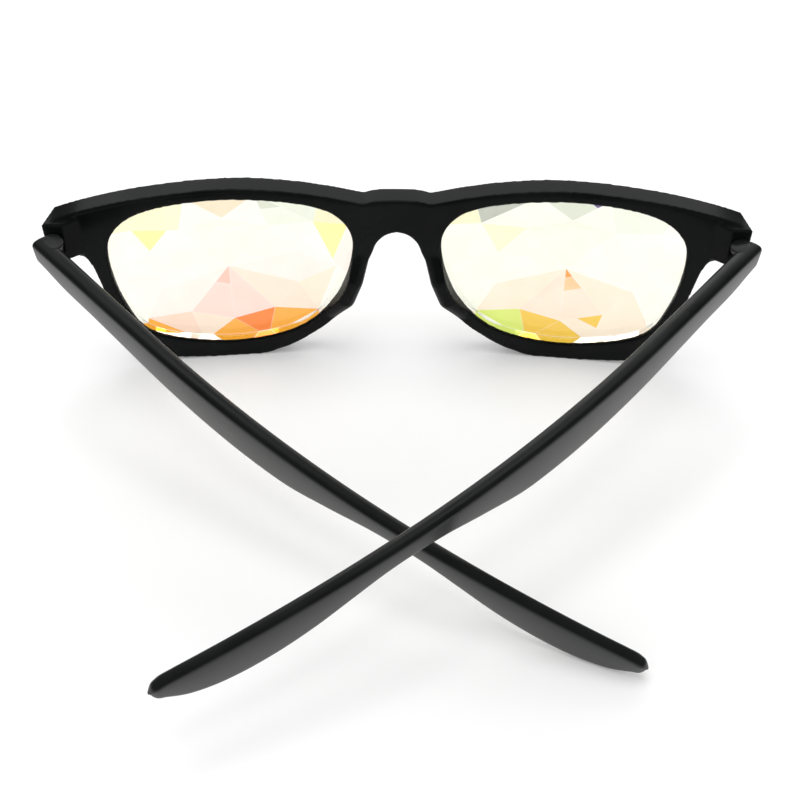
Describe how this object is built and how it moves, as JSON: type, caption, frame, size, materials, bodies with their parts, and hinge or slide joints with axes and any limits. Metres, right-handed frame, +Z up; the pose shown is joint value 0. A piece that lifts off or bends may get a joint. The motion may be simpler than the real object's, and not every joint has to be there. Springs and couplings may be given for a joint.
{
  "type": "kaleidoscope glasses",
  "caption": "Black moulded glasses standing on their rims, with clear faceted kaleidoscope lenses and curved temples half folded and crossed behind the front",
  "frame": {"origin": "middle of the footprint, on the surface that the glasses stand on", "axes": "+X to the wearer's right along the front, +Y the way the wearer looks, +Z up; the temples lie towards -Y"},
  "size_m": [0.1439, 0.1046, 0.045],
  "materials": {
    "frame_plastic": "satin black moulded plastic",
    "lens": "clear, flat behind and faceted in front, with a pale iridescent film",
    "hinge_metal": "black finished metal",
    "screw_steel": "dark steel"
  },
  "bodies": {
    "front": {"front_frame": "frame_plastic", "left_lens": "lens", "right_lens": "lens", "left_front_hinge_leaf": "hinge_metal", "right_front_hinge_leaf": "hinge_metal"},
    "left_arm": {"left_temple": "frame_plastic", "left_temple_hinge_leaf": "hinge_metal", "left_hinge_screw": "screw_steel"},
    "right_arm": {"right_temple": "frame_plastic", "right_temple_hinge_leaf": "hinge_metal", "right_hinge_screw": "screw_steel"}
  },
  "joints": [
    {"name": "left_temple_fold", "type": "hinge", "parent": "front", "child": "left_arm", "pos_m": [-0.0676, 0.0359, 0.03549], "axis": [0, 0, 1], "range_deg": [-49.2, 34.8]},
    {"name": "right_temple_fold", "type": "hinge", "parent": "front", "child": "right_arm", "pos_m": [0.0676, 0.0359, 0.03549], "axis": [-0.165, 0, -0.9863], "range_deg": [-43.71, 30.92]}
  ],
  "couplings": [
    {"joint": "right_temple_fold", "follows": "left_temple_fold", "ratio": 0.88821}
  ]
}
